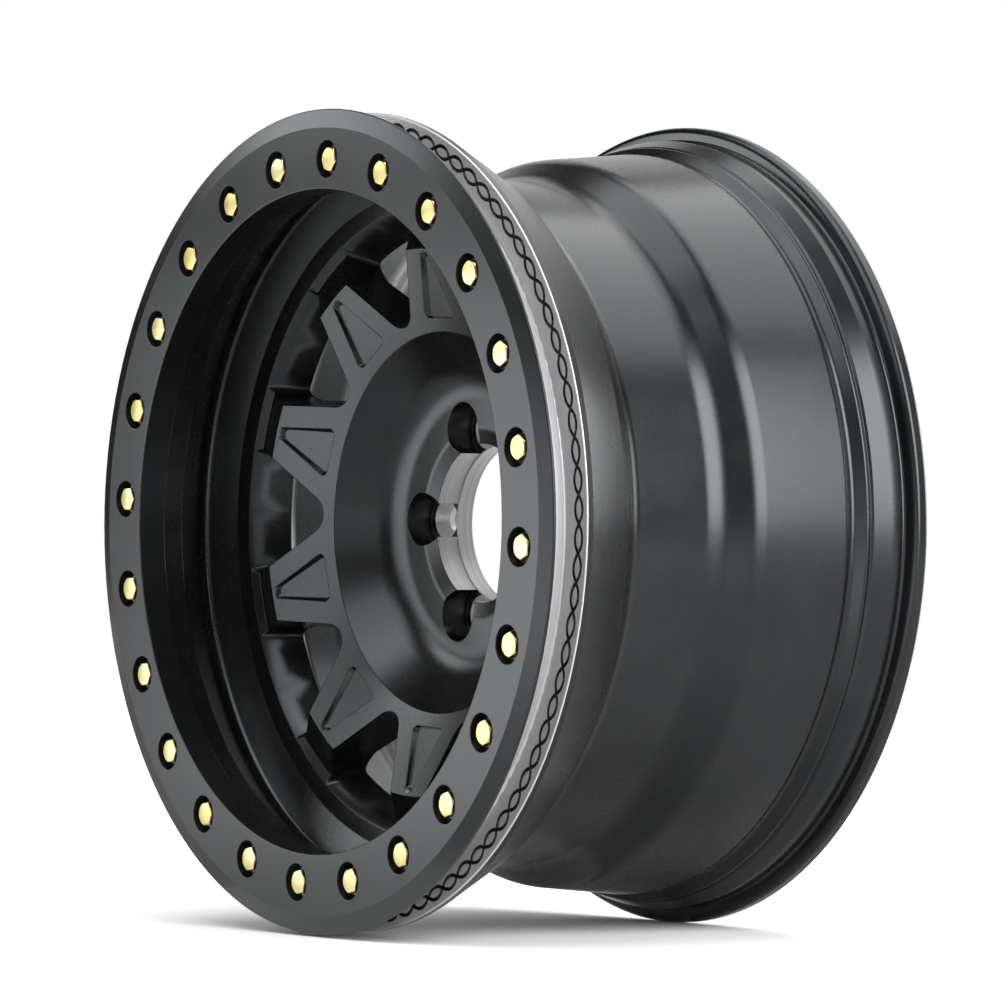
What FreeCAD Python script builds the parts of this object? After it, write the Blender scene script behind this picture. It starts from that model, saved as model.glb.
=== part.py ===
import FreeCAD, Part
import math
import os
from FreeCAD import Vector

# Off-road car wheel with a bolted bead-clamping ring, 17 x 9 inch.
# Millimetres. The wheel's axis is Y, the outboard side faces -Y, +Z is up.
# The origin is the wheel's centre, halfway between the ring's face and the rear lip.
# Angles run from +X towards +Z, as seen from the outboard side.

# Overall
OVERALL_WIDTH = 260.0          # ring face to rear lip
WHEEL_TURN = 33.1              # degrees, where the valve hole stands as the wheel has rolled

# Ring bolts, washers and thread inserts
BOLT_COUNT = 24
BOLT_CIRCLE_D = 412.0
BOLT_D = 8.0
BOLT_LENGTH = 25.0
HEAD_FLATS = 13.0
HEAD_HEIGHT = 5.3
HEAD_CHAMFER_DEG = 25.0
HEAD_FLAT_INSET = 0.25         # edge of the flat top, inside the hexagon's sides
HEAD_RECESS = 1.0              # bolt head's top below the ring's face
HEX_TURN_STEP = 47.0           # degrees, each head stops at its own angle
WASHER_D = 17.0
WASHER_THICK = 1.6
INSERT_WALL = 1.2
INSERT_LENGTH = 12.0
BOLT_CLEARANCE = 0.3           # radial, bolt in washer and ring
THREAD_CLEARANCE = 0.05        # radial, bolt in insert and insert in land
TAP_RUNOUT = 2.5               # tapped hole past the bolt's end

# Clamp ring
RING_BORE_D = 378.0
RING_OVERHANG = 1.1            # ring's radius over the clamp flange's
RING_THICK = 17.7
RING_BEVEL_WIDTH = 10.7
RING_BEVEL_DROP = 2.6
RING_EDGE = 1.6                # thin outer edge left under the bevel
RING_GRIP_THICK = 9.0          # thickness just outside the land
RING_EASE = 0.7                # broken edges
COUNTERBORE_D = 21.6

# Bolt land and clamp flange
LAND_BORE_D = 384.0
LAND_OUTER_D = 428.0
LAND_BORE_LENGTH = 13.8
BEAD_GAP = 7.5                 # land face to clamp face
CLAMP_STEP = 2.5               # clamp flange's radius under the rear lip's
CLAMP_RIM = 4.2                # straight edge of the clamp flange
CLAMP_DEPTH = 39.8             # clamp face to the foot of its back
CLAMP_FOOT_D = 430.0
CHAIN_D = 451.6                # middle of the chain-like grip groove
CHAIN_LINKS = 90
CHAIN_SWING = 3.3
CHAIN_GROOVE = 2.1
CHAIN_DEPTH = 0.9

# Barrel and rear flange
WALL = 6.5
DROP_D = 398.0                 # drop centre
DROP_RAMP_FRONT = 15.0         # axial run down to the drop centre
DROP_WIDTH = 58.0
DROP_RAMP_REAR = 20.0
SEAT_FRONT_D = 425.4
SEAT_REAR_D = 436.8
LIP_D = 472.0
LIP_WIDTH = 9.8
LIP_WALL = 9.0
LIP_RISE = 7.0                 # bead wall's height at the lip
STEP_WIDTH = 11.0              # straight band in front of the bead wall
STEP_RISE = 1.5
GRIP_WIDTH = 10.0              # sloping band in front of the straight one
GRIP_RISE = 4.0
NECK_WIDTH = 9.5               # from the groove up to the sloping band
GROOVE_WIDTH = 5.0
GROOVE_DEPTH = 1.8
HUMP_WIDTH = 3.0               # low ridge in front of the sloping band
HUMP_DIP = 1.4                 # thin groove behind the ridge

# Dish behind the land
UNDERCUT_D = 418.0
UNDERCUT_WIDTH = 5.0
BAND_OUTER_D = 382.0
BAND_DROP = 2.2                # the shining band's slope
SHOULDER_DROP = 12.0           # undercut's corner outboard of the band

# Spokes
SPOKE_COUNT = 10
BACKSPACE = 117.0              # rear lip to mounting face
PAD_SETBACK = 72.5             # spoke pad's outer end outboard of the mounting face
PAD_SLOPE_DEG = 19.8           # pads lean in towards the hub
PAD_END_D = 315.2
PAD_EASE = 1.2
ARM_WIDTH = 33.5               # spoke width at its outer end
SPOKE_TAPER_DEG = 15.7         # each side, widening towards the hub
WINDOW_OUTER_D = 362.8         # at the shining band
WINDOW_WALL_DEG = 23.7         # outer wall of the openings, closing towards the back
WINDOW_DRAFT_DEG = 7.0         # side walls of the openings
ROOT_FILLET = 13.6
CORNER_FILLET = 5.0
VALLEY_D = 353.0               # deepest line between pads and band
VALLEY_DEPTH = 5.8             # behind the pad's outer end
ARM_BACK_D = 342.0             # back of the arms where they meet the outer wall
ARM_BACK_DEPTH = 25.4          # behind the pad's outer end
SPOKE_BACK_DEPTH = 28.3        # back of the spokes behind the pad's outer end
BARREL_WEB = 13.0              # rise of the back from the arms out to the barrel
POCKET_INNER_R = 118.0         # triangular pocket in each pad
POCKET_OUTER_R = 158.6
POCKET_HALF_WIDTH = 15.4
POCKET_TIP_FILLET = 3.8
POCKET_CORNER_FILLET = 3.2
POCKET_DEPTH = 2.8
POCKET_DRAFT = 1.5             # floor smaller than the rim, on each side

# Hub
HUB_BORE_D = 91.0              # rear pilot that centres on the hub
CAP_BORE_D = 92.4              # front of the bore
HUB_PAD_D = 162.0
HUB_PAD_HEIGHT = 9.0
HUB_THICK = 28.5
BORE_FLARE_WIDTH = 9.0
BORE_FLARE_DROP = 3.2
BOWL_RIM_D = 220.8
BOWL_FLOOR_D = 168.0
BOWL_FILLET = 30.0
LUG_COUNT = 5
LUG_CIRCLE_D = 114.3
LUG_POCKET_D = 31.0
LUG_SEAT_D = 23.0
LUG_SEAT_DEG = 60.0            # included angle of the conical nut seat
LUG_HOLE_D = 14.5
LUG_SEAT_THICK = 11.0          # pocket floor to mounting face
VALVE_HOLE_D = 11.5

# Axial stations worked out from the sizes above
RING_FACE_Y = -OVERALL_WIDTH / 2
REAR_Y = OVERALL_WIDTH / 2
LAND_Y = RING_FACE_Y + RING_THICK
CLAMP_Y = LAND_Y + BEAD_GAP
CLAMP_FOOT_Y = CLAMP_Y + CLAMP_DEPTH
DROP_FRONT_Y = CLAMP_FOOT_Y + DROP_RAMP_FRONT
DROP_REAR_Y = DROP_FRONT_Y + DROP_WIDTH
SEAT_FRONT_Y = DROP_REAR_Y + DROP_RAMP_REAR
LIP_Y = REAR_Y - LIP_WIDTH
STEP_Y = LIP_Y - STEP_WIDTH
GRIP_Y = STEP_Y - GRIP_WIDTH
GROOVE_Y = GRIP_Y - NECK_WIDTH
SEAT_REAR_Y = GROOVE_Y - GROOVE_WIDTH
MOUNT_Y = REAR_Y - BACKSPACE
HUB_FACE_Y = MOUNT_Y - HUB_THICK
LUG_FLOOR_Y = MOUNT_Y - LUG_SEAT_THICK
PAD_END_Y = MOUNT_Y - PAD_SETBACK
VALLEY_Y = PAD_END_Y + VALLEY_DEPTH
HEAD_TOP_Y = RING_FACE_Y + HEAD_RECESS
HEAD_SEAT_Y = HEAD_TOP_Y + HEAD_HEIGHT
COUNTERBORE_Y = HEAD_SEAT_Y + WASHER_THICK
BOLT_END_Y = HEAD_SEAT_Y + BOLT_LENGTH

# Radii used more than once
CLAMP_OUTER_R = LIP_D / 2 - CLAMP_STEP
RING_OUTER_R = CLAMP_OUTER_R + RING_OVERHANG
BOLT_CIRCLE_R = BOLT_CIRCLE_D / 2
LAND_BORE_R = LAND_BORE_D / 2
LAND_OUTER_R = LAND_OUTER_D / 2
DROP_R = DROP_D / 2
SEAT_REAR_R = SEAT_REAR_D / 2
SEAT_FRONT_R = SEAT_FRONT_D / 2
PAD_END_R = PAD_END_D / 2
WINDOW_OUTER_R = WINDOW_OUTER_D / 2
UNDERCUT_R = UNDERCUT_D / 2
BAND_OUTER_R = BAND_OUTER_D / 2
INSERT_R = BOLT_D / 2 + THREAD_CLEARANCE + INSERT_WALL
TAP_R = INSERT_R + THREAD_CLEARANCE

SPOKE_STEP = 360.0 / SPOKE_COUNT
LUG_STEP = 360.0 / LUG_COUNT
BOLT_STEP = 360.0 / BOLT_COUNT
WINDOW_ANGLES = [WHEEL_TURN + i * SPOKE_STEP for i in range(SPOKE_COUNT)]
SPOKE_ANGLES = [a + SPOKE_STEP / 2 for a in WINDOW_ANGLES]
LUG_ANGLES = [WHEEL_TURN + i * LUG_STEP for i in range(LUG_COUNT)]
BOLT_ANGLES = [WHEEL_TURN + (i + 0.5) * BOLT_STEP for i in range(BOLT_COUNT)]

ORIGIN = Vector(0, 0, 0)
AXIS = Vector(0, 1, 0)
SIDE_SHARE = 0.45              # most of a straight side that one rounded corner may use


def turned(shape, degrees):
    """A copy of the shape, turned about the wheel's axis."""
    copy = shape.copy()
    copy.rotate(ORIGIN, AXIS, -degrees)
    return copy


def rounded_wire(corners):
    """Closed wire through (point, radius) corners, each rounded by a tangent arc."""
    spans = []
    count = len(corners)
    for i, (point, radius) in enumerate(corners):
        back = corners[i - 1][0] - point
        ahead = corners[(i + 1) % count][0] - point
        half = back.getAngle(ahead) / 2
        reach = min(radius / math.tan(half), SIDE_SHARE * min(back.Length, ahead.Length))
        if reach < 1e-4 or half > math.pi / 2 - 1e-4:
            spans.append((point, None, point))
            continue
        back.normalize()
        ahead.normalize()
        real_radius = reach * math.tan(half)
        towards = back + ahead
        towards.normalize()
        middle = point + towards * (real_radius / math.sin(half) - real_radius)
        spans.append((point + back * reach, middle, point + ahead * reach))
    edges = []
    for i, (start, middle, end) in enumerate(spans):
        if middle is not None:
            edges.append(Part.Arc(start, middle, end).toShape())
        edges.append(Part.LineSegment(end, spans[(i + 1) % count][0]).toShape())
    return Part.Wire(edges)


def lathe(profile):
    """Solid of revolution about the wheel's axis from (radius, y, corner radius) points."""
    corners = [(Vector(r, y, 0), fillet) for r, y, fillet in profile]
    return Part.Face(rounded_wire(corners)).revolve(ORIGIN, AXIS, 360)


def rod(radius, y_start, y_end, distance=0.0):
    """Cylinder along the wheel's axis, at a distance from it on the +X side."""
    return Part.makeCylinder(radius, y_end - y_start, Vector(distance, y_start, 0), AXIS)


def pad_y(radius):
    """Axial place of the leaning spoke pads' face at a radius."""
    return PAD_END_Y + (PAD_END_R - radius) * math.tan(math.radians(PAD_SLOPE_DEG))


def rim_profile():
    """Outside of the wheel, from the bolt land over the barrel to the rear lip."""
    step_r = LIP_D / 2 - LIP_RISE
    grip_r = step_r - STEP_RISE
    neck_r = grip_r - GRIP_RISE
    hump_r = neck_r - HUMP_DIP / 4
    return [
        (LAND_BORE_R, LAND_Y, 0.6),
        (LAND_OUTER_R, LAND_Y, 0.6),
        (LAND_OUTER_R, CLAMP_Y, 1.5),
        (CLAMP_OUTER_R, CLAMP_Y, 0.8),
        (CLAMP_OUTER_R, CLAMP_Y + CLAMP_RIM, 1.0),
        (CLAMP_FOOT_D / 2, CLAMP_FOOT_Y, 2.0),
        (DROP_R, DROP_FRONT_Y, 14.0),
        (DROP_R, DROP_REAR_Y, 24.0),
        (SEAT_FRONT_R, SEAT_FRONT_Y, 20.0),
        (SEAT_REAR_R, SEAT_REAR_Y, 4.0),
        (SEAT_REAR_R - GROOVE_DEPTH, GROOVE_Y, 4.0),
        (hump_r, GRIP_Y - HUMP_WIDTH, 2.5),
        (neck_r - HUMP_DIP, GRIP_Y - HUMP_DIP / 4, 0.5),
        (neck_r, GRIP_Y + HUMP_DIP / 2, 0.8),
        (grip_r, STEP_Y, 2.0),
        (step_r, LIP_Y - 1.0, 2.0),
        (LIP_D / 2, LIP_Y, 3.0),
        (LIP_D / 2, REAR_Y, 1.2),
    ]


def barrel_inside():
    """Inside of the barrel, from the rear lip to the back of the spokes."""
    return [
        (LIP_D / 2 - LIP_WALL, REAR_Y, 2.5),
        (SEAT_REAR_R, STEP_Y, 8.0),
        (SEAT_REAR_R - WALL, SEAT_REAR_Y, 12.0),
        (SEAT_FRONT_R - WALL, SEAT_FRONT_Y + WALL / 2, 20.0),
        (DROP_R - WALL, DROP_REAR_Y + WALL / 2, 24.0),
        (DROP_R - WALL, PAD_END_Y + ARM_BACK_DEPTH + BARREL_WEB, 10.0),
    ]


def centre_profile():
    """Hub and spokes in section: back, bore, bowl, pads, valley and dish."""
    bore_r = HUB_BORE_D / 2
    cap_r = CAP_BORE_D / 2
    pad_back_r = HUB_PAD_D / 2 + HUB_PAD_HEIGHT / 2
    band_y = PAD_END_Y + BAND_DROP / 2
    return [
        (ARM_BACK_D / 2, PAD_END_Y + ARM_BACK_DEPTH, 3.0),
        (PAD_END_R, PAD_END_Y + SPOKE_BACK_DEPTH, 20.0),
        (pad_back_r, MOUNT_Y - HUB_PAD_HEIGHT, 4.0),
        (HUB_PAD_D / 2, MOUNT_Y, 1.5),
        (bore_r, MOUNT_Y, 1.0),
        (bore_r, LUG_FLOOR_Y, 0),
        (cap_r, LUG_FLOOR_Y, 0),
        (cap_r, HUB_FACE_Y + BORE_FLARE_DROP, 0),
        (cap_r + BORE_FLARE_WIDTH, HUB_FACE_Y, 10.0),
        (BOWL_FLOOR_D / 2, HUB_FACE_Y, BOWL_FILLET),
        (BOWL_RIM_D / 2, pad_y(BOWL_RIM_D / 2), 2.0),
        (PAD_END_R, PAD_END_Y, PAD_EASE),
        (VALLEY_D / 2, VALLEY_Y, 2.0),
        (WINDOW_OUTER_R, band_y + BAND_DROP / 2, 0.8),
        (BAND_OUTER_R, band_y - BAND_DROP / 2, 3.0),
        (UNDERCUT_R, band_y - SHOULDER_DROP, 7.0),
        (UNDERCUT_R, band_y - SHOULDER_DROP - UNDERCUT_WIDTH, 6.0),
        (LAND_BORE_R, LAND_Y + LAND_BORE_LENGTH, 0.5),
    ]


def window_outline(y):
    """Sides of one opening between two spokes, centred on +X, in the plane at y."""
    inset = (y - PAD_END_Y) * math.tan(math.radians(WINDOW_DRAFT_DEG))
    half_step = math.radians(SPOKE_STEP / 2)
    taper = math.radians(SPOKE_TAPER_DEG)
    lean = half_step + taper
    along = Vector(math.cos(half_step), 0, math.sin(half_step))
    across = Vector(math.sin(half_step), 0, -math.cos(half_step))
    half_arm = ARM_WIDTH / 2
    pad_run = math.sqrt(PAD_END_R ** 2 - half_arm ** 2)
    pad_end = along * pad_run + across * half_arm
    root_x = pad_end.x - pad_end.z / math.tan(lean) + ROOT_FILLET / math.sin(lean)
    root_r = ROOT_FILLET - inset
    shoulder = along * (pad_run + inset * math.tan(taper / 2)) + across * (half_arm + inset)
    arm_end = along * UNDERCUT_R + across * (half_arm + inset)

    def at(x, z):
        return Vector(x, y, z)

    root_end = Vector(root_x - root_r * math.sin(lean), 0, root_r * math.cos(lean))
    path = [root_end, shoulder, arm_end]
    high = [at(p.x, p.z) for p in path]
    low = [at(p.x, -p.z) for p in path]
    return Part.Wire([
        Part.Arc(low[0], at(root_x - root_r, 0), high[0]).toShape(),
        Part.LineSegment(high[0], high[1]).toShape(),
        Part.LineSegment(high[1], high[2]).toShape(),
        Part.LineSegment(high[2], low[2]).toShape(),
        Part.LineSegment(low[2], low[1]).toShape(),
        Part.LineSegment(low[1], low[0]).toShape(),
    ])


def window_cutter():
    """Drafted plug for one opening, ended by the outer wall's cone."""
    front_y = PAD_END_Y - BAND_DROP
    back_y = MOUNT_Y - HUB_PAD_HEIGHT
    sides = Part.makeLoft([window_outline(front_y), window_outline(back_y)], True, True)
    edge_y = PAD_END_Y + BAND_DROP
    slope = math.tan(math.radians(WINDOW_WALL_DEG))
    wall = lathe([
        (0, front_y - BAND_DROP, 0),
        (WINDOW_OUTER_R + (edge_y - front_y + BAND_DROP) * slope, front_y - BAND_DROP, 0),
        (WINDOW_OUTER_R - (MOUNT_Y - edge_y) * slope, MOUNT_Y, 0),
        (0, MOUNT_Y, 0),
    ])
    plug = sides.common(wall)
    corners = []
    for edge in plug.Edges:
        points = [v.Point for v in edge.Vertexes]
        reach = max(math.hypot(p.x, p.z) for p in points)
        runs_back = max(p.y for p in points) - min(p.y for p in points) > CORNER_FILLET
        off_centre = min(abs(p.z) for p in points) > CORNER_FILLET
        if runs_back and off_centre and reach > PAD_END_R + CORNER_FILLET:
            corners.append(edge)
    return plug.makeFillet(CORNER_FILLET, corners)


def pocket_outline(height, inset):
    """Pocket's triangle at a height over the pad, in the pad's own leaning plane, on +X."""
    lean = math.radians(PAD_SLOPE_DEG)
    tip_half = math.atan2(POCKET_HALF_WIDTH, POCKET_OUTER_R - POCKET_INNER_R)
    inner = POCKET_INNER_R + inset
    half = POCKET_HALF_WIDTH - inset / math.tan(math.pi / 4 - tip_half / 2)
    outer = POCKET_OUTER_R - inset + POCKET_TIP_FILLET * (1 / math.sin(tip_half) - 1)

    def at(radius, z):
        run = (radius - PAD_END_R) / math.cos(lean)
        x = PAD_END_R + run * math.cos(lean) + height * math.sin(lean)
        return Vector(x, PAD_END_Y - run * math.sin(lean) - height * math.cos(lean), z)

    return rounded_wire([
        (at(outer, 0), POCKET_TIP_FILLET),
        (at(inner, half), POCKET_CORNER_FILLET),
        (at(inner, -half), POCKET_CORNER_FILLET),
    ])


def pocket_cutter():
    """Shallow triangular recess in one spoke pad, centred on +X."""
    floor = pocket_outline(-POCKET_DEPTH, POCKET_DRAFT)
    above = pocket_outline(POCKET_DEPTH, -POCKET_DRAFT)
    return Part.makeLoft([above, floor], True, True)


def lug_cutter():
    """Painted nut pocket, conical seat and stud hole, on +X."""
    distance = LUG_CIRCLE_D / 2
    seat_depth = (LUG_SEAT_D - LUG_HOLE_D) / 2 / math.tan(math.radians(LUG_SEAT_DEG / 2))
    seat_base = Vector(distance, LUG_FLOOR_Y, 0)
    pocket = rod(LUG_POCKET_D / 2, HUB_FACE_Y - HUB_THICK, LUG_FLOOR_Y, distance)
    seat = Part.makeCone(LUG_SEAT_D / 2, LUG_HOLE_D / 2, seat_depth, seat_base, AXIS)
    hole = rod(LUG_HOLE_D / 2, LUG_FLOOR_Y, MOUNT_Y + HUB_PAD_HEIGHT, distance)
    return pocket.fuse([seat, hole])


def valve_cutter():
    """Valve hole from the dish through the barrel's front ramp, on +X."""
    band_y = PAD_END_Y + BAND_DROP / 2
    inside = Vector((BAND_OUTER_R + UNDERCUT_R) / 2, band_y - (BAND_DROP / 2 + SHOULDER_DROP) / 2, 0)
    outside = Vector((CLAMP_FOOT_D / 2 + DROP_R) / 2, (CLAMP_FOOT_Y + DROP_FRONT_Y) / 2, 0)
    through = outside - inside
    start = inside - through
    return Part.makeCylinder(VALVE_HOLE_D / 2, 3 * through.Length, start, through)


def polar(radius, degrees, y):
    """Point at a radius and angle in the plane at y."""
    angle = math.radians(degrees)
    return Vector(radius * math.cos(angle), y, radius * math.sin(angle))


def chain_cutter():
    """Grip groove in the clamp face: two waves that cross, like a chain."""
    chain_r = CHAIN_D / 2
    pitch = 360.0 / CHAIN_LINKS
    slope = math.atan(CHAIN_SWING * math.pi / (math.radians(pitch) * chain_r))
    notch = CHAIN_GROOVE / 2 / math.cos(slope)
    island_gap = math.degrees(CHAIN_GROOVE / 2 / math.sin(slope) / chain_r)
    peak = CHAIN_SWING + CHAIN_GROOVE / 2
    eye = CHAIN_SWING - CHAIN_GROOVE / 2
    centres = [WHEEL_TURN + i * pitch for i in range(CHAIN_LINKS)]
    y = CLAMP_Y - CHAIN_DEPTH

    def arc(angle, half_angle, end_offset, peak_offset):
        start = polar(chain_r + end_offset, angle - half_angle, y)
        middle = polar(chain_r + peak_offset, angle, y)
        end = polar(chain_r + end_offset, angle + half_angle, y)
        return Part.Arc(start, middle, end).toShape()

    outer = Part.Wire([arc(a, pitch / 2, notch, peak) for a in centres])
    inner = Part.Wire([arc(a, pitch / 2, -notch, -peak) for a in centres])
    half_eye = pitch / 2 - island_gap
    eyes = [Part.Wire([arc(a, half_eye, 0, eye), arc(a, half_eye, 0, -eye)]) for a in centres]
    face = Part.makeFace([outer, inner] + eyes, "Part::FaceMakerBullseye")
    return face.extrude(AXIS * (2 * CHAIN_DEPTH))


def make_wheel():
    """The casting: rim, clamp flange, spokes and hub in one piece."""
    body = lathe(rim_profile() + barrel_inside() + centre_profile())
    window = window_cutter()
    pocket = pocket_cutter()
    lug = lug_cutter()
    tap = rod(TAP_R, LAND_Y, BOLT_END_Y + TAP_RUNOUT, BOLT_CIRCLE_R)
    cutters = [turned(window, a) for a in WINDOW_ANGLES]
    cutters += [turned(pocket, a) for a in SPOKE_ANGLES]
    cutters += [turned(lug, a) for a in LUG_ANGLES]
    cutters += [turned(tap, a) for a in BOLT_ANGLES]
    cutters.append(turned(valve_cutter(), WHEEL_TURN))
    return body.cut(cutters).cut(chain_cutter())


def make_ring():
    """The clamp ring, bevelled outside, with a counterbored hole for each bolt."""
    bevel_y = RING_FACE_Y + RING_BEVEL_DROP
    grip_r = LAND_OUTER_R + BEAD_GAP / 2
    body = lathe([
        (RING_BORE_D / 2, RING_FACE_Y, RING_EASE),
        (RING_OUTER_R - RING_BEVEL_WIDTH, RING_FACE_Y, RING_EASE),
        (RING_OUTER_R, bevel_y, RING_EASE),
        (RING_OUTER_R, bevel_y + RING_EDGE, RING_EASE),
        (grip_r, RING_FACE_Y + RING_GRIP_THICK, 6.0),
        (LAND_OUTER_R, LAND_Y, RING_EASE),
        (RING_BORE_D / 2, LAND_Y, RING_EASE),
    ])
    well = rod(COUNTERBORE_D / 2, RING_FACE_Y - RING_THICK, COUNTERBORE_Y, BOLT_CIRCLE_R)
    hole = rod(BOLT_D / 2 + BOLT_CLEARANCE, COUNTERBORE_Y, LAND_Y + RING_THICK, BOLT_CIRCLE_R)
    drill = well.fuse(hole)
    return body.cut([turned(drill, a) for a in BOLT_ANGLES])


def make_bolt(hex_turn):
    """One hex-head bolt on +X, its chamfered head towards -Y."""
    corner_r = HEAD_FLATS / 2 / math.cos(math.pi / 6)
    points = []
    for i in range(7):
        angle = math.radians(60 * i + hex_turn)
        points.append(Vector(corner_r * math.cos(angle), HEAD_TOP_Y, corner_r * math.sin(angle)))
    prism = Part.Face(Part.makePolygon(points)).extrude(AXIS * HEAD_HEIGHT)
    slope = math.tan(math.radians(HEAD_CHAMFER_DEG))
    flat_r = HEAD_FLATS / 2 - HEAD_FLAT_INSET
    edge_drop = (2 * corner_r - flat_r) * slope
    chamfer = lathe([
        (0, HEAD_TOP_Y, 0),
        (flat_r, HEAD_TOP_Y, 0),
        (2 * corner_r, HEAD_TOP_Y + edge_drop, 0),
        (2 * corner_r, HEAD_SEAT_Y + edge_drop, 0),
        (0, HEAD_SEAT_Y + edge_drop, 0),
    ])
    shank = rod(BOLT_D / 2, HEAD_SEAT_Y, BOLT_END_Y)
    bolt = prism.common(chamfer).fuse(shank).removeSplitter()
    bolt.translate(Vector(BOLT_CIRCLE_R, 0, 0))
    return bolt


def make_washer():
    """One flat washer on +X, on the counterbore's floor."""
    disc = rod(WASHER_D / 2, HEAD_SEAT_Y, COUNTERBORE_Y, BOLT_CIRCLE_R)
    hole = rod(BOLT_D / 2 + BOLT_CLEARANCE, HEAD_SEAT_Y, COUNTERBORE_Y, BOLT_CIRCLE_R)
    return disc.cut(hole)


def make_insert():
    """One thread insert on +X, flush with the land's face."""
    end_y = LAND_Y + INSERT_LENGTH
    sleeve = rod(INSERT_R, LAND_Y, end_y, BOLT_CIRCLE_R)
    return sleeve.cut(rod(BOLT_D / 2 + THREAD_CLEARANCE, LAND_Y, end_y, BOLT_CIRCLE_R))


def bolt_set():
    return Part.makeCompound([
        turned(make_bolt(HEX_TURN_STEP * i), a) for i, a in enumerate(BOLT_ANGLES)
    ])


def ring_of(shape):
    return Part.makeCompound([turned(shape, a) for a in BOLT_ANGLES])


def main():
    pieces = {
        "wheel": make_wheel(),
        "beadlock_ring": make_ring(),
        "beadlock_bolts": bolt_set(),
        "bolt_washers": ring_of(make_washer()),
        "thread_inserts": ring_of(make_insert()),
    }
    os.makedirs("parts", exist_ok=True)
    for name, shape in pieces.items():
        shape.exportStep(os.path.join("parts", name + ".step"))
        litres = shape.Volume / 1e6
        print(name, "solids", len(shape.Solids), "valid", shape.isValid(), "litres", round(litres, 4))


main()
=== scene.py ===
# %% [markdown]
# # An off-road wheel with a bolted clamp ring
# The object is a cast wheel with a separate ring that 24 bolts pull against the outer flange.
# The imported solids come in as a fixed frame, in metres, with the wheel's axis along Y and its
# outboard side facing -Y. Each cell below dresses one piece of it, or sets up the studio.

# %% Load the frame
import math
import bmesh
import bpy
import numpy as np
from mathutils import Matrix, Vector


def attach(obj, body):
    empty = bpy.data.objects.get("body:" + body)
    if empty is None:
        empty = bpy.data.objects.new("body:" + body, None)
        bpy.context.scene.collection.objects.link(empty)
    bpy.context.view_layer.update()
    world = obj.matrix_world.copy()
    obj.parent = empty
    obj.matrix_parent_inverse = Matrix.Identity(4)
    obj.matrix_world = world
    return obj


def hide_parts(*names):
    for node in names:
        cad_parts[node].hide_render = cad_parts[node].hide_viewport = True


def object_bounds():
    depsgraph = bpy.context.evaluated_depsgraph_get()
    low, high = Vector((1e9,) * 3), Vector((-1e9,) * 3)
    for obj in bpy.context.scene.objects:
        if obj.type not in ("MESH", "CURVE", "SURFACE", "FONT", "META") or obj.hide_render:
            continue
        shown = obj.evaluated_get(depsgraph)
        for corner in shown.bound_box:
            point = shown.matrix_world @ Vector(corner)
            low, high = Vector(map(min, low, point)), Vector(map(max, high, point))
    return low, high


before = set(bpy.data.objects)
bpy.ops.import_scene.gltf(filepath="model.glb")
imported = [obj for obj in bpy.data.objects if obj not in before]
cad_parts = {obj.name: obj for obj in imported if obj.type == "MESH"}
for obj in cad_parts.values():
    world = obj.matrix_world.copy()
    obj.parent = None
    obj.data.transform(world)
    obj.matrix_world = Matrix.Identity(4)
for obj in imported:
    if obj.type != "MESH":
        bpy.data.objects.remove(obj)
cad_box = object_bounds()
scene = bpy.context.scene
scene.view_settings.view_transform = "Standard"
MM = 0.001
print("nodes", sorted(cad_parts), "box", [tuple(round(v, 4) for v in p) for p in cad_box])

# %% [markdown]
# ## Camera
# The photograph was taken with a long lens, a little below the wheel's centre and 55 degrees
# round from its axis. A camera's matrix is three directions and a place: its right, its up and
# its back. Writing those down is surer than aiming it with a constraint.

# %% Camera
VIEW_AZIMUTH = math.radians(55.120263)
VIEW_ELEVATION = math.radians(-0.936051)
VIEW_PLACE = Vector((2.60052, -1.80918, -0.04052))
VIEW_LENS = 194.39

back = Vector((
    math.sin(VIEW_AZIMUTH) * math.cos(VIEW_ELEVATION),
    -math.cos(VIEW_AZIMUTH) * math.cos(VIEW_ELEVATION),
    math.sin(VIEW_ELEVATION),
))
right = Vector((math.cos(VIEW_AZIMUTH), math.sin(VIEW_AZIMUTH), 0.0))
up = back.cross(right)
camera_data = bpy.data.cameras.new("camera")
camera_data.lens = VIEW_LENS
camera_data.sensor_width = 36.0
camera_data.clip_end = 100.0
camera = bpy.data.objects.new("camera", camera_data)
camera.matrix_world = Matrix((
    (right.x, up.x, back.x, VIEW_PLACE.x),
    (right.y, up.y, back.y, VIEW_PLACE.y),
    (right.z, up.z, back.z, VIEW_PLACE.z),
    (0.0, 0.0, 0.0, 1.0),
))
scene.collection.objects.link(camera)
scene.camera = camera
print("camera", round(VIEW_PLACE.length, 3), "m from the wheel's centre")

# %% [markdown]
# ## Node helpers
# Every finish below is a small node tree. These helpers keep the cells short: one adds a node and
# sets or links its inputs, two more stand for the nodes used most, a range that stretches one
# span of numbers onto another and a ramp between two colours.


# %% Node helpers
def add_node(tree, kind, settings=None, **inputs):
    """Adds a node and sets or links its inputs, by name or, as i0, i1 and so on, by number."""
    node = tree.nodes.new(kind)
    for key, value in (settings or {}).items():
        setattr(node, key, value)
    for key, value in inputs.items():
        by_number = key[0] == "i" and key[1:].isdigit()
        socket = node.inputs[int(key[1:]) if by_number else key]
        if isinstance(value, bpy.types.NodeSocket):
            tree.links.new(value, socket)
        else:
            socket.default_value = value
    return node


def stretch(tree, value, span, onto, settings=None):
    """Map Range from one pair of numbers onto another."""
    node = add_node(tree, "ShaderNodeMapRange", settings, Value=value)
    node.inputs["From Min"].default_value, node.inputs["From Max"].default_value = span
    node.inputs["To Min"].default_value, node.inputs["To Max"].default_value = onto
    return node.outputs[0]


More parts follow.
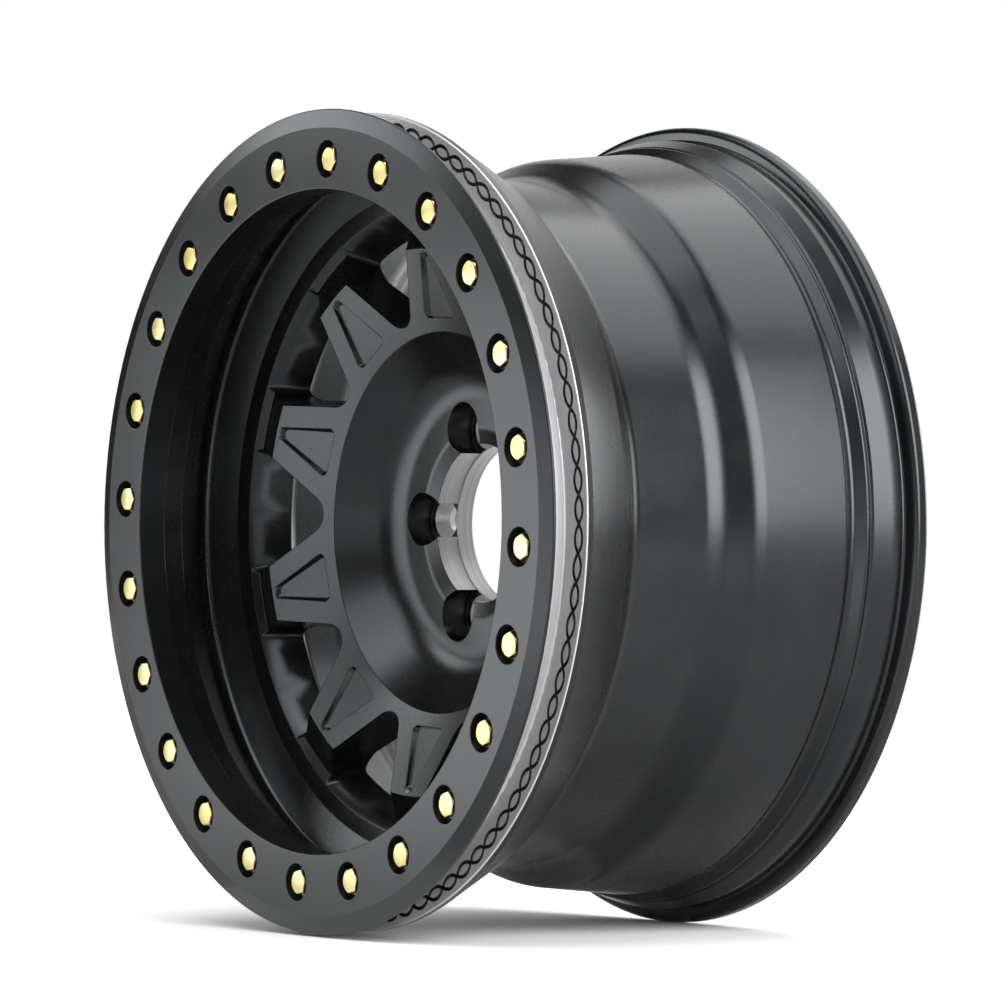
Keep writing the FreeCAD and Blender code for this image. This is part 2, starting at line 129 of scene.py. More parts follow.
def two_tones(tree, value, low, dark, high, light):
    """Colour ramp from dark at one position to light at another."""
    node = add_node(tree, "ShaderNodeValToRGB", Fac=value)
    for stop, position, colour in zip(node.color_ramp.elements, (low, high), (dark, light)):
        stop.position = position
        stop.color = (*colour, 1.0)
    return node


def new_material(name):
    """An empty node material with its output, and the tree to fill."""
    material = bpy.data.materials.new(name)
    material.use_nodes = True
    material.node_tree.nodes.clear()
    output = material.node_tree.nodes.new("ShaderNodeOutputMaterial")
    return material, material.node_tree, output


def finish_shader(tree, output, shader):
    tree.links.new(shader.outputs[0], output.inputs["Surface"])


print("helpers ready")

# %% [markdown]
# ## Floor and surroundings
# The wheel stands on a white sweep. The floor's own colour is a pale grey-white that takes the
# soft shadow under the wheel. Away from the wheel it glows up to plain white for the camera and
# for mirror-like rays, and so does the world, so paint and metal show the same white room.

# %% Floor and surroundings
FLOOR_Z = cad_box[0].z
FLOOR_RADIUS = 12.0
GLOW_REACH = (0.25, 0.9)
SOFT_LIGHT, SEEN_LIGHT = 0.35, 1.0


def seen_directly(tree):
    """1 for camera, glossy and transmission rays, 0 for the rays that carry soft light."""
    path = add_node(tree, "ShaderNodeLightPath")
    gloss = add_node(tree, "ShaderNodeMath", {"operation": "MAXIMUM"},
                     i0=path.outputs["Is Camera Ray"], i1=path.outputs["Is Glossy Ray"])
    either = add_node(tree, "ShaderNodeMath", {"operation": "MAXIMUM"},
                      i0=gloss.outputs[0], i1=path.outputs["Is Transmission Ray"])
    return either.outputs[0]


floor_paint, tree, output = new_material("white_sweep")
place = add_node(tree, "ShaderNodeTexCoord")
reach = add_node(tree, "ShaderNodeVectorMath", {"operation": "LENGTH"}, i0=place.outputs["Object"])
glow = stretch(tree, reach.outputs["Value"], GLOW_REACH, (0.0, 1.0), {"interpolation_type": "SMOOTHSTEP"})
strength = add_node(tree, "ShaderNodeMath", {"operation": "MULTIPLY"}, i0=glow, i1=seen_directly(tree))
matte = add_node(tree, "ShaderNodeBsdfDiffuse", Color=(0.8, 0.8, 0.8, 1.0))
shine = add_node(tree, "ShaderNodeEmission", Color=(1.0, 1.0, 1.0, 1.0), Strength=strength.outputs[0])
both = add_node(tree, "ShaderNodeAddShader", i0=matte.outputs[0], i1=shine.outputs[0])
finish_shader(tree, output, both)
floor_paint.cycles.emission_sampling = "NONE"

floor_mesh = bpy.data.meshes.new("floor")
grid = bmesh.new()
bmesh.ops.create_circle(grid, cap_ends=True, radius=FLOOR_RADIUS, segments=96)
grid.to_mesh(floor_mesh)
grid.free()
floor_mesh.materials.append(floor_paint)
floor = bpy.data.objects.new("floor", floor_mesh)
floor.location.z = FLOOR_Z
scene.collection.objects.link(floor)

world = bpy.data.worlds.new("white_room")
world.use_nodes = True
tree = world.node_tree
tree.nodes.clear()
lift = stretch(tree, seen_directly(tree), (0.0, 1.0), (SOFT_LIGHT, SEEN_LIGHT))
room = add_node(tree, "ShaderNodeBackground", Color=(1.0, 1.0, 1.0, 1.0), Strength=lift)
add_node(tree, "ShaderNodeOutputWorld", Surface=room.outputs[0])
world.cycles.sampling_method = "NONE"
scene.world = world
print("floor at", round(FLOOR_Z, 4))

# %% [markdown]
# ## Studio lamps
# Satin black shows little of its own colour: what shapes it is the soft panels it mirrors.
# Each panel is placed by its direction from the wheel and given a brightness, from which the
# lamp's power follows. A dark tent, open towards the back, and two sheets laid on the floor are
# met only by mirror-like rays: they are painted dark reflections that keep the rest of the paint
# black, while the camera still sees the white floor and room.


# %% Studio lamps
CARD_STEPS = 12


def towards(azimuth, elevation):
    """Unit vector from the wheel, with the azimuth from +X towards +Y."""
    a, e = math.radians(azimuth), math.radians(elevation)
    return Vector((math.cos(a) * math.cos(e), math.sin(a) * math.cos(e), math.sin(e)))


def facing_wheel(direction, distance):
    """Matrix of something that stands along a direction and looks back at the wheel."""
    turn = direction.to_track_quat("Z", "Y").to_matrix().to_4x4()
    return Matrix.Translation(direction * distance) @ turn


def soft_panel(name, azimuth, elevation, distance, width, height, brightness):
    data = bpy.data.lights.new(name, "AREA")
    data.shape = "RECTANGLE"
    data.size = width
    data.size_y = height
    data.energy = 4.0 * brightness * width * height
    lamp = bpy.data.objects.new(name, data)
    lamp.matrix_world = facing_wheel(towards(azimuth, elevation), distance)
    lamp.visible_camera = False
    scene.collection.objects.link(lamp)
    return lamp


# Shader of the mirror-only screens: a painted dark reflection, made uneven by a noise.
def painted_reflection_shader(name, darkest, lightest):
    material, tree, output = new_material(name)
    uneven_shade = add_node(tree, "ShaderNodeTexNoise", Scale=40.0)
    shade = stretch(tree, uneven_shade.outputs["Fac"], (0.0, 1.0), (darkest, lightest))
    finish_shader(tree, output, add_node(tree, "ShaderNodeBsdfDiffuse", Color=shade))
    return material


def for_mirrors_only(name, mesh, material):
    """Stages a screen that only mirror-like rays meet, so it paints a dark reflection on the paint and
    nothing else.
    """
    mesh.materials.append(material)
    screen = bpy.data.objects.new(name, mesh)
    screen.visible_camera = False
    screen.visible_shadow = False
    screen.visible_diffuse = False
    scene.collection.objects.link(screen)
    return screen


def floor_card(name, azimuth_from, azimuth_to, near, far, material):
    """A sector on the floor round the wheel that only reflections see: a painted reflection of the floor,
    darker than the floor looks.
    """
    work = bmesh.new()
    rows = []
    for azimuth in np.linspace(azimuth_from, azimuth_to, CARD_STEPS + 1):
        along = towards(azimuth, 0)
        rows.append([work.verts.new((along.x * r, along.y * r, FLOOR_Z + MM)) for r in (near, far)])
    for one, two in zip(rows, rows[1:]):
        work.faces.new((one[0], one[1], two[1], two[0]))
    mesh = bpy.data.meshes.new(name)
    work.to_mesh(mesh)
    work.free()
    return for_mirrors_only(name, mesh, material)


def dark_tent(radius, open_from, open_to, open_height):
    """A dark dome that only mirror-like rays meet, open towards the white back: a painted dark reflection.
    """
    work = bmesh.new()
    bmesh.ops.create_uvsphere(work, u_segments=72, v_segments=36, radius=radius)
    opening = []
    for face in work.faces:
        middle = face.calc_center_median()
        azimuth = math.degrees(math.atan2(middle.y, middle.x))
        elevation = math.degrees(math.asin(middle.z / middle.length))
        in_back = open_from < azimuth < open_to and elevation < open_height
        if in_back or middle.z < FLOOR_Z:
            opening.append(face)
    bmesh.ops.delete(work, geom=opening, context="FACES")
    mesh = bpy.data.meshes.new("dark_tent")
    work.to_mesh(mesh)
    work.free()
    return for_mirrors_only("dark_tent", mesh, painted_reflection_shader("painted_dark_reflection", 0.002, 0.006))


# name, azimuth, elevation, distance, width, height, brightness
soft_panel("front_panel", -124, -1, 0.95, 0.80, 0.42, 2.4)
soft_panel("upper_left_panel", -142, 24, 1.3, 0.55, 0.35, 3.8)
soft_panel("front_top_panel", -76, 48, 1.5, 1.3, 0.9, 2.3)
soft_panel("overhead_panel", -120, 76, 1.9, 1.5, 1.3, 2.2)
soft_panel("top_panel", 84, 60, 1.9, 2.0, 1.3, 2.2)
soft_panel("right_panel", 7, 22, 3.0, 2.2, 2.6, 7.2)
soft_panel("rear_right_panel", 64, 9, 2.5, 0.8, 0.8, 4.0)
soft_panel("rear_panel", 88, 9, 2.6, 0.9, 0.8, 5.2)
soft_panel("camera_fill", -52, 4, 3.4, 1.8, 1.2, 0.8)
# Tent and floor cards: painted dark and grey reflections, seen by mirror-like rays only.
dark_tent(5.0, 78.0, 160.0, 40.0)
floor_card("right_card", -30, 80, 0.05, 4.9, painted_reflection_shader("painted_grey_reflection", 0.40, 0.48))
floor_card("front_card", -205, -50, 0.24, 2.6, painted_reflection_shader("painted_charcoal_reflection", 0.30, 0.38))

# %% [markdown]
# ## Satin black coat
# The casting and the ring are powder coated: a dense black with a soft sheen. Under a lens the
# coat is not glassy, it has a fine orange peel, and its gloss drifts a little from place to
# place. A fine noise drives the bump and a broad one drives the roughness. The coat also builds up
# and softens sharp edges: the Bevel node rounds their shading by a millimetre. Its sampling is
# grainy, so it is mixed in only where it differs from the exact normal, close to an edge.


# %% Satin black coat
EDGE_RADIUS = 0.9 * MM
EDGE_FADE = (0.08, 0.22)


def rounded_edges(tree, radius):
    """Normal that rounds the shading close to sharp edges and is exact everywhere else."""
    edge = add_node(tree, "ShaderNodeBevel", {"samples": 8}, Radius=radius).outputs[0]
    exact = add_node(tree, "ShaderNodeNewGeometry").outputs["Normal"]
    apart = add_node(tree, "ShaderNodeVectorMath", {"operation": "DISTANCE"}, i0=edge, i1=exact)
    close = stretch(tree, apart.outputs["Value"], EDGE_FADE, (0.0, 1.0))
    return add_node(tree, "ShaderNodeMix", {"data_type": "VECTOR"}, i0=close, i4=exact, i5=edge).outputs[1]


def satin_black(name, dark, light, rough_low, rough_high, peel_scale):
    material, tree, output = new_material(name)
    place = add_node(tree, "ShaderNodeTexCoord").outputs["Object"]
    cloud = add_node(tree, "ShaderNodeTexNoise", Vector=place, Scale=38.0, Detail=4.0)
    tone = two_tones(tree, cloud.outputs["Fac"], 0.3, dark, 0.72, light)
    fleck = add_node(tree, "ShaderNodeTexNoise", Vector=place, Scale=peel_scale * 0.5, Detail=2.0)
    mixed = add_node(tree, "ShaderNodeMath", {"operation": "MULTIPLY_ADD"},
                     i0=fleck.outputs["Fac"], i1=0.5, i2=cloud.outputs["Fac"])
    gloss = stretch(tree, mixed.outputs[0], (0.4, 1.1), (rough_low, rough_high))
    peel = add_node(tree, "ShaderNodeTexNoise", Vector=place, Scale=peel_scale, Detail=2.0)
    bump = add_node(tree, "ShaderNodeBump", Strength=0.004, Distance=0.0003,
                    Height=peel.outputs["Fac"], Normal=rounded_edges(tree, EDGE_RADIUS))
    coat = add_node(tree, "ShaderNodeBsdfPrincipled", Roughness=gloss, Normal=bump.outputs[0])
    tree.links.new(tone.outputs["Color"], coat.inputs["Base Color"])
    coat.inputs["Specular IOR Level"].default_value = 0.5
    coat.inputs["Specular Tint"].default_value = (0.90, 0.96, 1.0, 1.0)
    finish_shader(tree, output, coat)
    return material


wheel_coat = satin_black("wheel_satin_black", (0.0022, 0.0023, 0.0025), (0.0045, 0.0047, 0.0050),
                         0.25, 0.29, 900.0)
ring_coat = satin_black("ring_satin_black", (0.0022, 0.0023, 0.0025), (0.0042, 0.0044, 0.0047),
                        0.27, 0.31, 1100.0)
print("coats", wheel_coat.name, ring_coat.name)

# %% [markdown]
# ## Turned aluminium
# Where metal has to meet metal the coat is cut away on a lathe: the clamp flange, the bolt land,
# the bore, the nut seats and the mounting face. A lathe leaves fine circles round the axis, so
# the pattern is drawn in radius and depth in place of X, Y and Z: it then follows every turned
# face, flat or round, with one noise. The bore gets coarser lines and a darker, rougher metal.


# %% Turned aluminium
def turned_metal(name, dark, light, rough_low, rough_high, line_scale):
    material, tree, output = new_material(name)
    place = add_node(tree, "ShaderNodeTexCoord").outputs["Object"]
    parts = add_node(tree, "ShaderNodeSeparateXYZ", Vector=place)
    flat = add_node(tree, "ShaderNodeCombineXYZ", X=parts.outputs["X"], Y=parts.outputs["Z"])
    radius = add_node(tree, "ShaderNodeVectorMath", {"operation": "LENGTH"}, i0=flat.outputs[0])
    cut = add_node(tree, "ShaderNodeCombineXYZ", X=radius.outputs["Value"], Y=parts.outputs["Y"])
    lines = add_node(tree, "ShaderNodeTexNoise", {"noise_dimensions": "2D"}, Vector=cut.outputs[0],
                     Scale=line_scale, Detail=3.0, Roughness=0.7)
    stain = add_node(tree, "ShaderNodeTexNoise", Vector=place, Scale=25.0, Detail=5.0)
    tone = two_tones(tree, lines.outputs["Fac"], 0.3, dark, 0.7, light)
    gloss = stretch(tree, stain.outputs["Fac"], (0.3, 0.7), (rough_low, rough_high))
    edge = add_node(tree, "ShaderNodeBevel", {"samples": 4}, Radius=0.0003)
    bump = add_node(tree, "ShaderNodeBump", Strength=0.12, Distance=0.0002,
                    Height=lines.outputs["Fac"], Normal=edge.outputs[0])
    metal = add_node(tree, "ShaderNodeBsdfPrincipled", Roughness=gloss, Normal=bump.outputs[0])
    tree.links.new(tone.outputs["Color"], metal.inputs["Base Color"])
    metal.inputs["Metallic"].default_value = 0.5
    finish_shader(tree, output, metal)
    return material


bare_metal = turned_metal("turned_aluminium", (0.43, 0.43, 0.44), (0.59, 0.59, 0.60), 0.34, 0.46, 1600.0)
bore_metal = turned_metal("bored_aluminium", (0.30, 0.30, 0.31), (0.46, 0.46, 0.47), 0.38, 0.52, 700.0)
print("metal", bare_metal.name, bore_metal.name)

# %% [markdown]
# ## The turned section
# Most of the wheel and the ring was turned on a lathe, so the true direction of its skin is known
# from the section alone. The section is written down once, as corners in radius and depth with a
# rounding each, and taken apart into straight runs and arcs that know which way they face.

# %% The turned section
SIDE_SHARE = 0.45


def section_parts(corners):
    """Runs (start, end, normal) and, by corner, arcs (centre, radius, middle, spread, sign)."""
    places = [np.array((r, y)) * MM for r, y, fillet in corners]
    count = len(corners)
    turn = sum(a[0] * b[1] - a[1] * b[0] for a, b in zip(places, places[1:] + places[:1]))
    ends, arcs = [], []
    for i, here in enumerate(places):
        before, after = places[i - 1] - here, places[(i + 1) % count] - here
        short = min(np.linalg.norm(before), np.linalg.norm(after))
        before, after = before / np.linalg.norm(before), after / np.linalg.norm(after)
        half = math.acos(np.clip(before @ after, -1, 1)) / 2
        reach = min(corners[i][2] * MM / math.tan(half), SIDE_SHARE * short)
        ends.append((here + before * reach, here + after * reach))
        inward = (before + after) / np.linalg.norm(before + after)
        radius = reach * math.tan(half)
        outward = math.copysign(1, turn) * np.array((-before[1], before[0]))
        sign = math.copysign(1, -(outward @ inward))
        arcs.append((here + inward * radius / math.sin(half), radius, -inward, math.pi / 2 - half, sign))
    runs = []
    for i in range(count):
        start, end = ends[i][1], ends[(i + 1) % count][0]
        along = (end - start) / np.linalg.norm(end - start)
        runs.append((start, end, math.copysign(1, turn) * np.array((along[1], -along[0]))))
    return runs, arcs


def section_points(corners, first, last, step):
    """Points with their normals along the section, from one corner's arc to another's."""
    runs, arcs = section_parts(corners)
    points = []
    for i in range(first, last + 1):
        centre, radius, _, _, sign = arcs[i]
        one, two = (math.atan2(*runs[k][2][::-1]) for k in (i - 1, i))
        swing = (two - one + math.pi) % math.tau - math.pi
        cuts = max(2, math.ceil(abs(swing) / step))
        for k in range(cuts + 1):
            angle = one + swing * k / cuts
            normal = np.array((math.cos(angle), math.sin(angle)))
            points.append((centre + sign * radius * normal, normal))
    return points


WHEEL_SECTION = [
    # bolt land and clamp flange
    (192, -112.3, 0.6), (214, -112.3, 0.6), (214, -104.8, 1.5), (233.5, -104.8, 0.8),
    (233.5, -100.6, 1), (215, -65, 2),
    # drop centre and inboard bead seat
    (199, -50, 14), (199, 8, 24), (212.7, 28, 20), (218.4, 84.7, 4), (216.6, 89.7, 4),
    # rear flange
    (223.15, 96.2, 2.5), (222.1, 98.85, 0.5), (223.5, 99.9, 0.8), (227.5, 109.2, 2),
    (229, 119.2, 2), (236, 120.2, 3), (236, 130, 1.2),
    # inside of the barrel
    (227, 130, 2.5), (218.4, 109.2, 8), (211.9, 84.7, 12), (206.2, 31.25, 20),
    (192.5, 11.25, 24), (192.5, -21.1, 10),
    # back of the spokes, mounting face and bore
    (171, -34.1, 3), (157.6, -31.2, 20), (85.5, 4, 4), (81, 13, 1.5), (45.5, 13, 1),
    (45.5, 2, 0), (46.2, 2, 0), (46.2, -12.3, 0),
    # hub face, bowl, pads, valley and dish
    (55.2, -15.5, 10), (84, -15.5, 30), (110.4, -42.507, 2), (157.6, -59.5, 1.2),
    (176.5, -53.7, 2), (181.4, -57.3, 0.8), (191, -59.5, 3), (209, -70.4, 7), (209, -75.4, 6),
    (192, -98.5, 0.5),
]
RING_SECTION = [
    (189, -130, 0.7), (223.9, -130, 0.7), (234.6, -127.4, 0.7), (234.6, -125.8, 0.7),
    (217.75, -121, 6), (214, -112.3, 0.7), (189, -112.3, 0.7),
]
print("corners", len(WHEEL_SECTION), len(RING_SECTION))

# %% [markdown]
# ## Smooth copies of the two large solids
# The wheel and the ring come in as triangles up to 15 mm wide. Shaded by averages of those, the
# skin shows seams, so every corner on the section takes its normal from there, and the others keep
# the one they came with. On the rear flange that is not enough: it breaks into dashes where it
# turns out of sight. Those triangles make way for a band turned finely from the same section, with
# the lip rolled rounder and the step in front of it eased down a little.

# %% Smooth copies of the two large solids
NEAR = 0.15 * MM
BAND_FIRST, BAND_LAST = 9, 19
BAND_STEPS = 360
BAND_ARC_STEP = math.radians(12)
LIP_R, LIP_ROUND = 236, 4.4
STEP_CORNER, STEP_EASE = (229, 119.2, 2), (226.8, 119.2, 2)
SAME_PLACE = 0.002 * MM
AGREE = 0.8


def turned_band(work, corners):
    """Swaps the rear flange's triangles for a fine band turned from the section."""
    runs = section_parts(corners)[0]
    outer_y, inner_y = runs[BAND_FIRST - 1][1][1], runs[BAND_LAST][0][1]
    coarse = []
    for face in work.faces:
        middle = face.calc_center_median()
        across = middle.x * face.normal.x + middle.z * face.normal.z
        inside = across < -0.1 * math.hypot(middle.x, middle.z)
        if middle.y > (inner_y if inside else outer_y):
            coarse.append(face)
    bmesh.ops.delete(work, geom=coarse, context="FACES")
    eased = [STEP_EASE if corner == STEP_CORNER else corner for corner in corners]
    round_lip = [(r, y, LIP_ROUND if r == LIP_R else fillet) for r, y, fillet in eased]
    points = section_points(round_lip, BAND_FIRST, BAND_LAST, BAND_ARC_STEP)
    given = work.loops.layers.float_vector["given"]
    circle = [(math.cos(a), math.sin(a)) for a in (i * math.tau / BAND_STEPS for i in range(BAND_STEPS))]
    rows = [[work.verts.new((r * c, y, r * s)) for c, s in circle] for (r, y), normal in points]
    normals = [normal for place, normal in points]
    made = []
    for one, two, n_one, n_two in zip(rows, rows[1:], normals, normals[1:]):
        for i, j in zip(range(-1, BAND_STEPS - 1), range(BAND_STEPS)):
            face = work.faces.new((one[i], one[j], two[j], two[i]))
            for loop, (k, normal) in zip(face.loops, ((i, n_one), (j, n_one), (j, n_two), (i, n_two))):
                loop[given] = (normal[0] * circle[k][0], normal[1], normal[0] * circle[k][1])
            made.append(face)
    made[0].normal_update()
    if made[0].normal.dot(made[0].loops[0][given]) < 0:
        bmesh.ops.reverse_faces(work, faces=made)
    bmesh.ops.triangulate(work, faces=made)
    return len(coarse)


def read_vectors(items, key, count):
    values = np.empty(count * 3, np.float32)
    items.foreach_get(key, values)
    return values.reshape(-1, 3).astype(float)


def section_normals(mesh, corners, normals):
    """Replaces the normals of all corners that lie on the turned section."""
    place = read_vectors(mesh.vertices, "co", len(mesh.vertices))
    radius = np.hypot(place[:, 0], place[:, 2])
    outward = place[:, [0, 2]] / radius[:, None]
    flat = np.stack((radius, place[:, 1]), 1)
    vertex = np.empty(len(mesh.loops), np.int32)
    mesh.loops.foreach_get("vertex_index", vertex)
    facing = np.repeat(read_vectors(mesh.polygons, "normal", len(mesh.polygons)), 3, axis=0)
    radial = (facing[:, [0, 2]] * outward[vertex]).sum(1)
    runs, arcs = section_parts(corners)
    fields = []
    for start, end, normal in runs:
        span = end - start
        share = np.clip((flat - start) @ span / (span @ span), 0, 1)
        away = np.linalg.norm(flat - start - share[:, None] * span, axis=1)
        fields.append((away, np.broadcast_to(normal, flat.shape)))
    for centre, bend, middle, spread, sign in (arc for arc in arcs if arc[1] > 0):
        arm = flat - centre
        length = np.maximum(np.linalg.norm(arm, axis=1), 1e-9)
        arm = arm / length[:, None]
        away = np.where(arm @ middle > math.cos(spread) - 0.002, abs(length - bend), 1.0)
        fields.append((away, arm * sign))
    best = np.full(len(vertex), AGREE)
    found = np.zeros((len(vertex), 2))
    for away, normal in fields:
        agree = radial * normal[vertex, 0] + facing[:, 1] * normal[vertex, 1]
        better = (away[vertex] < NEAR) & (agree > best)
        best[better] = agree[better]
        found[better] = normal[vertex][better]
    side = outward[vertex] * found[:, :1]
    turned = np.stack((side[:, 0], found[:, 1], side[:, 1]), 1)
    return np.where(best[:, None] > AGREE, turned, normals)


def smooth_copy(node, name, corners, band):
    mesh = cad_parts[node].data.copy()
    mesh.name = name
    mesh.materials.clear()
    given = read_vectors(mesh.corner_normals, "vector", len(mesh.loops)).astype(np.float32)
    mesh.attributes.new("given", "FLOAT_VECTOR", "CORNER").data.foreach_set("vector", given.ravel())
    work = bmesh.new()
    work.from_mesh(mesh)
    bmesh.ops.remove_doubles(work, verts=work.verts, dist=SAME_PLACE)
    swapped = turned_band(work, corners) if band else 0
    for point in work.verts:
        for axis in (0, 2):
            point.co[axis] = min(max(point.co[axis], cad_box[0][axis]), cad_box[1][axis])
    for face in work.faces:
        face.smooth = True
        face.material_index = 0
    work.to_mesh(mesh)
    work.free()
    given = read_vectors(mesh.attributes["given"].data, "vector", len(mesh.loops))
    mesh.attributes.remove(mesh.attributes["given"])
    normals = section_normals(mesh, corners, given)
    mesh.normals_split_custom_set((normals / np.linalg.norm(normals, axis=1, keepdims=True)).tolist())
    piece = bpy.data.objects.new(name, mesh)
    scene.collection.objects.link(piece)
    print(name, "faces swapped", swapped, "faces", len(mesh.polygons))
    return piece


wheel = smooth_copy("wheel", "cast_wheel", WHEEL_SECTION, True)
ring = smooth_copy("beadlock_ring", "clamp_ring", RING_SECTION, False)

# %% [markdown]
# ## Which faces the lathe has cut
# The turned faces are told apart by where they are: their radius and depth, and for the nut seats
# their distance from a stud's axis. The chain-like groove in the clamp face lies below the cut, so
# its floor and walls keep the black coat and draw the pattern.

# %% Which faces the lathe has cut
CLAMP_FACE_Y = -104.8 * MM
LAND_BORE_R = 192.0 * MM
CLAMP_OUTER_R = 233.5 * MM
BORE_R = 46.2 * MM
BORE_FRONT_Y = -12.3 * MM
MOUNT_FACE_Y = 13.0 * MM
NUT_FLOOR_Y = 2.0 * MM
NUT_SEAT_R = 11.5 * MM
STUD_CIRCLE_R = 57.15 * MM
WHEEL_TURN = math.radians(33.1)
STUD_COUNT = 5
TOUCH = 0.05 * MM
RIM_DEPTH, RIM_WIDTH = 0.8 * MM, 0.9 * MM
MOUNT_PAD_R = 82.0 * MM
COATED, TURNED, BORED = 0, 1, 2
STUDS = [(STUD_CIRCLE_R * math.cos(a), STUD_CIRCLE_R * math.sin(a))
         for a in (WHEEL_TURN + i * math.tau / STUD_COUNT for i in range(STUD_COUNT))]


def is_turned(face):
    middle = face.center
    radius = math.hypot(middle.x, middle.z)
    if middle.y < CLAMP_FACE_Y + TOUCH and radius > LAND_BORE_R + TOUCH:
        return True
    if middle.y < CLAMP_FACE_Y + RIM_DEPTH and radius > CLAMP_OUTER_R - RIM_WIDTH:
        return True
    if radius < BORE_R + TOUCH and middle.y > BORE_FRONT_Y - TOUCH:
        return True
    if middle.y > MOUNT_FACE_Y - TOUCH and radius < MOUNT_PAD_R:
        return True
    for x, z in STUDS:
        if middle.y > NUT_FLOOR_Y + TOUCH and math.hypot(middle.x - x, middle.z - z) < NUT_SEAT_R:
            return True
    return False


for finish in (wheel_coat, bare_metal, bore_metal):
    wheel.data.materials.append(finish)
for face in wheel.data.polygons:
    bare = BORED if math.hypot(face.center.x, face.center.z) < BORE_R + TOUCH else TURNED
    face.material_index = bare if is_turned(face) else COATED
ring.data.materials.append(ring_coat)
for piece, node, slot in ((wheel, "wheel", "wheel_black"), (ring, "beadlock_ring", "ring_black")):
    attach(piece, "root")
    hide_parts(node)
print("turned faces", sum(f.material_index != COATED for f in wheel.data.polygons))

# %% [markdown]
# ## Yellow zinc and plain steel
# The bolts are zinc plated and yellow passivated: a pale gold that shifts towards green and pink
# in patches. Each bolt carries its own tone in an attribute, so no two look stamped from one
# picture. The washers and thread inserts are plain bright steel with a duller, finer grain.


# %% Yellow zinc and plain steel
def plated(name, tones, rough_low, rough_high, patch_scale):
    material, tree, output = new_material(name)
    place = add_node(tree, "ShaderNodeTexCoord").outputs["Object"]
    own = add_node(tree, "ShaderNodeAttribute", {"attribute_name": "tone"})
    patch = add_node(tree, "ShaderNodeTexNoise", Vector=place, Scale=patch_scale, Detail=3.0)
    blend = add_node(tree, "ShaderNodeMath", {"operation": "MULTIPLY_ADD"},
                     i0=own.outputs["Fac"], i1=0.35, i2=patch.outputs["Fac"])
    colour = two_tones(tree, blend.outputs[0], 0.3, tones[0], 0.95, tones[2])
    middle = colour.color_ramp.elements.new(0.6)
    middle.color = (*tones[1], 1.0)
    grain = add_node(tree, "ShaderNodeTexNoise", Vector=place, Scale=2400.0, Detail=2.0)
    gloss = stretch(tree, grain.outputs["Fac"], (0.0, 1.0), (rough_low, rough_high))
    edge = add_node(tree, "ShaderNodeBevel", {"samples": 4}, Radius=0.00025)
    bump = add_node(tree, "ShaderNodeBump", Strength=0.05, Distance=0.0001,
                    Height=grain.outputs["Fac"], Normal=edge.outputs[0])
    metal = add_node(tree, "ShaderNodeBsdfPrincipled", Roughness=gloss, Normal=bump.outputs[0])
    tree.links.new(colour.outputs["Color"], metal.inputs["Base Color"])
    metal.inputs["Metallic"].default_value = 1.0
    finish_shader(tree, output, metal)
    return material


gold_zinc = plated("yellow_zinc", ((0.64, 0.50, 0.18), (0.72, 0.61, 0.26), (0.78, 0.69, 0.40)),
                   0.22, 0.38, 160.0)
washer_steel = plated("washer_steel", ((0.40, 0.40, 0.41), (0.48, 0.48, 0.49), (0.55, 0.55, 0.56)),
                      0.28, 0.42, 220.0)
insert_steel = plated("insert_steel", ((0.36, 0.36, 0.37), (0.42, 0.42, 0.43), (0.50, 0.50, 0.51)),
                      0.30, 0.45, 220.0)
print("plated", gold_zinc.name, washer_steel.name, insert_steel.name)

# %% [markdown]
# ## One bolt and one washer
# A hex head is a prism whose top has been turned to a cone, which leaves the curved lines on its
# six sides. Drawn as rings of points it needs no boolean: each ring is either round or follows
# the hexagon, and where the cone meets the hexagon the height follows the distance from the axis.
# The shank carries shallow thread ridges below its plain neck.

# %% One bolt and one washer
HEAD_TOP_Y = -129.0
HEAD_SEAT_Y = -123.7
BOLT_END_Y = -98.7
WASHER_BASE_Y = -122.1
HEAD_FLATS = 13.0
CHAMFER_SLOPE = math.tan(math.radians(25))
TOP_FLAT_R = HEAD_FLATS / 2 - 0.25
SHANK_R = 4.0
PLAIN_NECK = 9.0
THREAD_PITCH = 1.25
THREAD_DEPTH = 0.6
WASHER_R = 8.5
WASHER_BORE_R = 4.3
RING_POINTS = 48
SHARP = math.radians(38)


def hex_reach(angle):
    """Distance from the axis to the hexagon's side, corners at 0, 60, 120 and so on."""
    return HEAD_FLATS / 2 / math.cos(angle % (math.pi / 3) - math.pi / 6)


def round_ring(radius, y):
    return [(radius * math.cos(a), y, radius * math.sin(a)) for a in ring_angles]


def hex_ring(inset, y, under_cone=0.0):
    points = []
    for a in ring_angles:
        reach = hex_reach(a)
        drop = under_cone * (reach - TOP_FLAT_R) * CHAMFER_SLOPE
        points.append(((reach - inset) * math.cos(a), y + drop, (reach - inset) * math.sin(a)))
    return points


def skin(name, rings, closed):
    """Mesh through rings of points: capped at both ends, or joined round into a loop."""
    work = bmesh.new()
    loops = [[work.verts.new(Vector(p) * MM) for p in ring] for ring in rings]
    pairs = list(zip(loops, loops[1:])) + ([(loops[-1], loops[0])] if closed else [])
    for one, two in pairs:
        for i in range(RING_POINTS):
            j = (i + 1) % RING_POINTS
            work.faces.new((one[i], one[j], two[j], two[i]))
    if not closed:
        work.faces.new(loops[0])
        work.faces.new(list(reversed(loops[-1])))
    bmesh.ops.recalc_face_normals(work, faces=work.faces)
    for face in work.faces:
        face.smooth = True
    for edge in work.edges:
        edge.smooth = edge.is_manifold and edge.calc_face_angle(0.0) < SHARP
    mesh = bpy.data.meshes.new(name)
    work.to_mesh(mesh)
    work.free()
    return mesh


